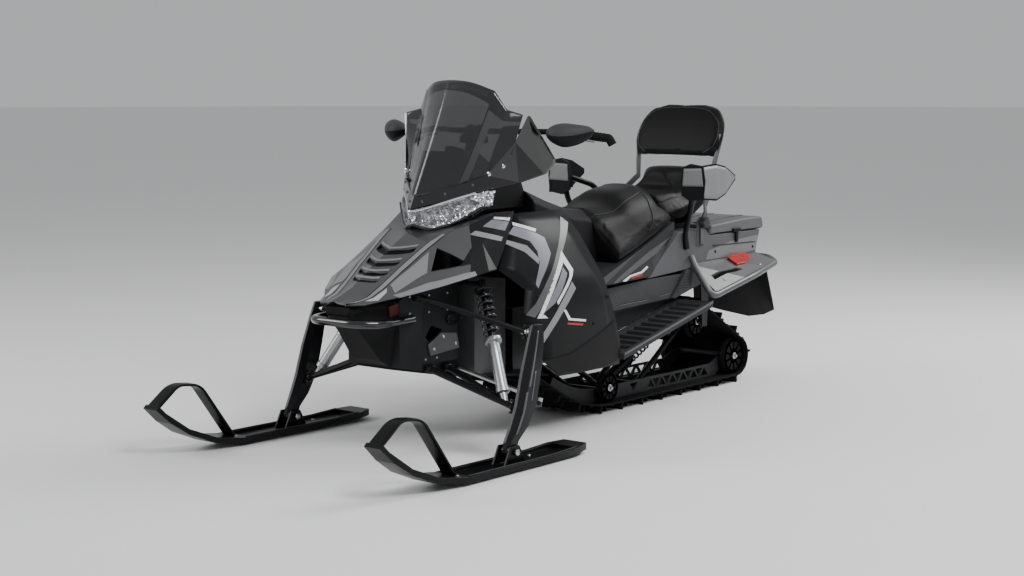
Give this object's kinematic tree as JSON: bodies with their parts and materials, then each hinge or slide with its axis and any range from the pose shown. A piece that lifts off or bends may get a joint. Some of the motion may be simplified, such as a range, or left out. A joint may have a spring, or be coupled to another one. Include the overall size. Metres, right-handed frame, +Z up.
{
  "type": "two-up touring snowmobile",
  "caption": "Two-up touring snowmobile with steered skis, a rubber drive track, tall windshield, passenger backrest and rear trunk.",
  "frame": {"origin": "on the ground below the middle of the bounding box", "axes": "+X forward, +Y to the vehicle's left, +Z up"},
  "size_m": [3.14, 1.228, 1.342],
  "materials": {
    "post_silver": "satin",
    "pad_vinyl": "grained vinyl",
    "grip_rubber": "moulded",
    "belly_black": "moulded",
    "bulkhead_grey": "satin",
    "console_black": "satin",
    "dash_black": "grained",
    "drive_steel": "plain",
    "engine_grey": "cast",
    "bumper_black": "gloss",
    "shock_silver": "satin",
    "spring_black": "gloss",
    "bar_black": "satin",
    "pod_black": "satin",
    "bar_steel": "satin",
    "lamp_chrome": "bright",
    "lamp_clear": "clear",
    "hood_charcoal": "textured",
    "louvre_black": "moulded",
    "wheel_black": "moulded",
    "grain_black": "grained",
    "board_black": "textured paint",
    "body_charcoal": "satin",
    "ski_black": "satin",
    "loop_black": "satin",
    "runner_steel": "worn",
    "spindle_black": "satin",
    "rod_steel": "plain",
    "panel_grey": "satin",
    "arm_black": "gloss",
    "guard_grey": "satin",
    "seat_vinyl": "grained vinyl",
    "bumper_silver": "satin",
    "plate_silver": "satin",
    "base_charcoal": "satin",
    "rail_black": "black anodised",
    "flap_black": "moulded",
    "post_black": "satin",
    "lamp_red": "clear red",
    "track_rubber": "moulded rubber",
    "trunk_grey": "satin",
    "lid_grey": "textured",
    "tunnel_grey": "painted",
    "shield_smoke": "smoked",
    "cowl_black": "satin"
  },
  "bodies": {
    "chassis": {"belly_pan": "belly_black", "belly_tray": "belly_black", "bulkhead": "bulkhead_grey", "console": "console_black", "dash": "dash_black", "drive_axle": "drive_steel", "engine": "engine_grey", "front_bumper": "bumper_black", "front_shocks": "shock_silver", "front_springs": "spring_black", "grab_bars": "bar_black", "headlamp_housing": "lamp_chrome", "headlamp_lens": "lamp_clear", "hood": "hood_charcoal", "hood_louvres": "louvre_black", "idler_wheels": "wheel_black", "left_heel_guard": "grain_black", "left_running_board": "board_black", "left_side_panel": "body_charcoal", "left_tunnel_panel": "panel_grey", "lower_arms": "arm_black", "passenger_guards": "guard_grey", "passenger_pan": "grain_black", "passenger_seat": "seat_vinyl", "rear_bumper": "bumper_silver", "rear_side_plates": "plate_silver", "rider_seat": "seat_vinyl", "right_heel_guard": "grain_black", "right_running_board": "board_black", "right_side_panel": "body_charcoal", "right_tunnel_panel": "panel_grey", "seat_base": "base_charcoal", "skid_arms": "arm_black", "slide_rails": "rail_black", "snow_flap": "flap_black", "tail_lamps": "lamp_red", "track": "track_rubber", "trunk_box": "trunk_grey", "tunnel": "tunnel_grey", "upper_arms": "arm_black", "windshield": "shield_smoke", "windshield_cowl": "cowl_black"},
    "steering_bar": {"steering_post": "post_black", "handlebar": "bar_steel", "bar_grips": "grip_rubber", "hand_pods": "pod_black"},
    "left_knuckle": {"left_spindle": "spindle_black"},
    "right_knuckle": {"right_spindle": "spindle_black"},
    "left_link": {"left_tie_rod": "rod_steel"},
    "right_link": {"right_tie_rod": "rod_steel"},
    "left_ski_set": {"left_ski": "ski_black", "left_ski_loop": "loop_black", "left_ski_runner": "runner_steel"},
    "right_ski_set": {"right_ski": "ski_black", "right_ski_loop": "loop_black", "right_ski_runner": "runner_steel"},
    "lid": {"trunk_lid": "lid_grey"},
    "backrest": {"backrest_frame": "post_silver", "backrest_pad": "pad_vinyl"}
  },
  "joints": [
    {"name": "steering", "type": "hinge", "parent": "chassis", "child": "steering_bar", "pos_m": [0.41, 0, 1.15], "axis": [-0.4493, 0, 0.8934], "range_deg": [-30, 30]},
    {"name": "left_spindle_turn", "type": "hinge", "parent": "chassis", "child": "left_knuckle", "pos_m": [0.8, 0.503, 0.205], "axis": [-0.2903, -0.0223, 0.9567], "range_deg": [-24, 24]},
    {"name": "left_tie_rod_turn", "type": "hinge", "parent": "left_knuckle", "child": "left_link", "pos_m": [0.697, 0.538, 0.222], "axis": [-0.2903, -0.0223, 0.9567], "range_deg": [-24, 24]},
    {"name": "left_ski_pitch", "type": "hinge", "parent": "left_knuckle", "child": "left_ski_set", "pos_m": [0.87, 0.54, 0.062], "axis": [0, 1, 0], "range_deg": [-20, 12], "stiffness_Nm_per_rad": 60},
    {"name": "right_spindle_turn", "type": "hinge", "parent": "chassis", "child": "right_knuckle", "pos_m": [0.8, -0.503, 0.205], "axis": [-0.2903, 0.0223, 0.9567], "range_deg": [-24, 24]},
    {"name": "right_tie_rod_turn", "type": "hinge", "parent": "right_knuckle", "child": "right_link", "pos_m": [0.697, -0.538, 0.222], "axis": [-0.2903, 0.0223, 0.9567], "range_deg": [-24, 24]},
    {"name": "right_ski_pitch", "type": "hinge", "parent": "right_knuckle", "child": "right_ski_set", "pos_m": [0.87, -0.54, 0.062], "axis": [0, 1, 0], "range_deg": [-20, 12], "stiffness_Nm_per_rad": 60},
    {"name": "trunk_lid_hinge", "type": "hinge", "parent": "chassis", "child": "lid", "pos_m": [-0.842, 0, 0.688], "axis": [0, 1, 0], "range_deg": [0, 28]},
    {"name": "backrest_tilt", "type": "hinge", "parent": "chassis", "child": "backrest", "pos_m": [-0.76, 0, 0.742], "axis": [0, 1, 0], "range_deg": [0, 25]}
  ],
  "couplings": [
    {"joint": "left_spindle_turn", "follows": "steering", "ratio": 0.8},
    {"joint": "left_tie_rod_turn", "follows": "steering", "ratio": -0.8},
    {"joint": "right_spindle_turn", "follows": "steering", "ratio": 0.8},
    {"joint": "right_tie_rod_turn", "follows": "steering", "ratio": -0.8}
  ]
}
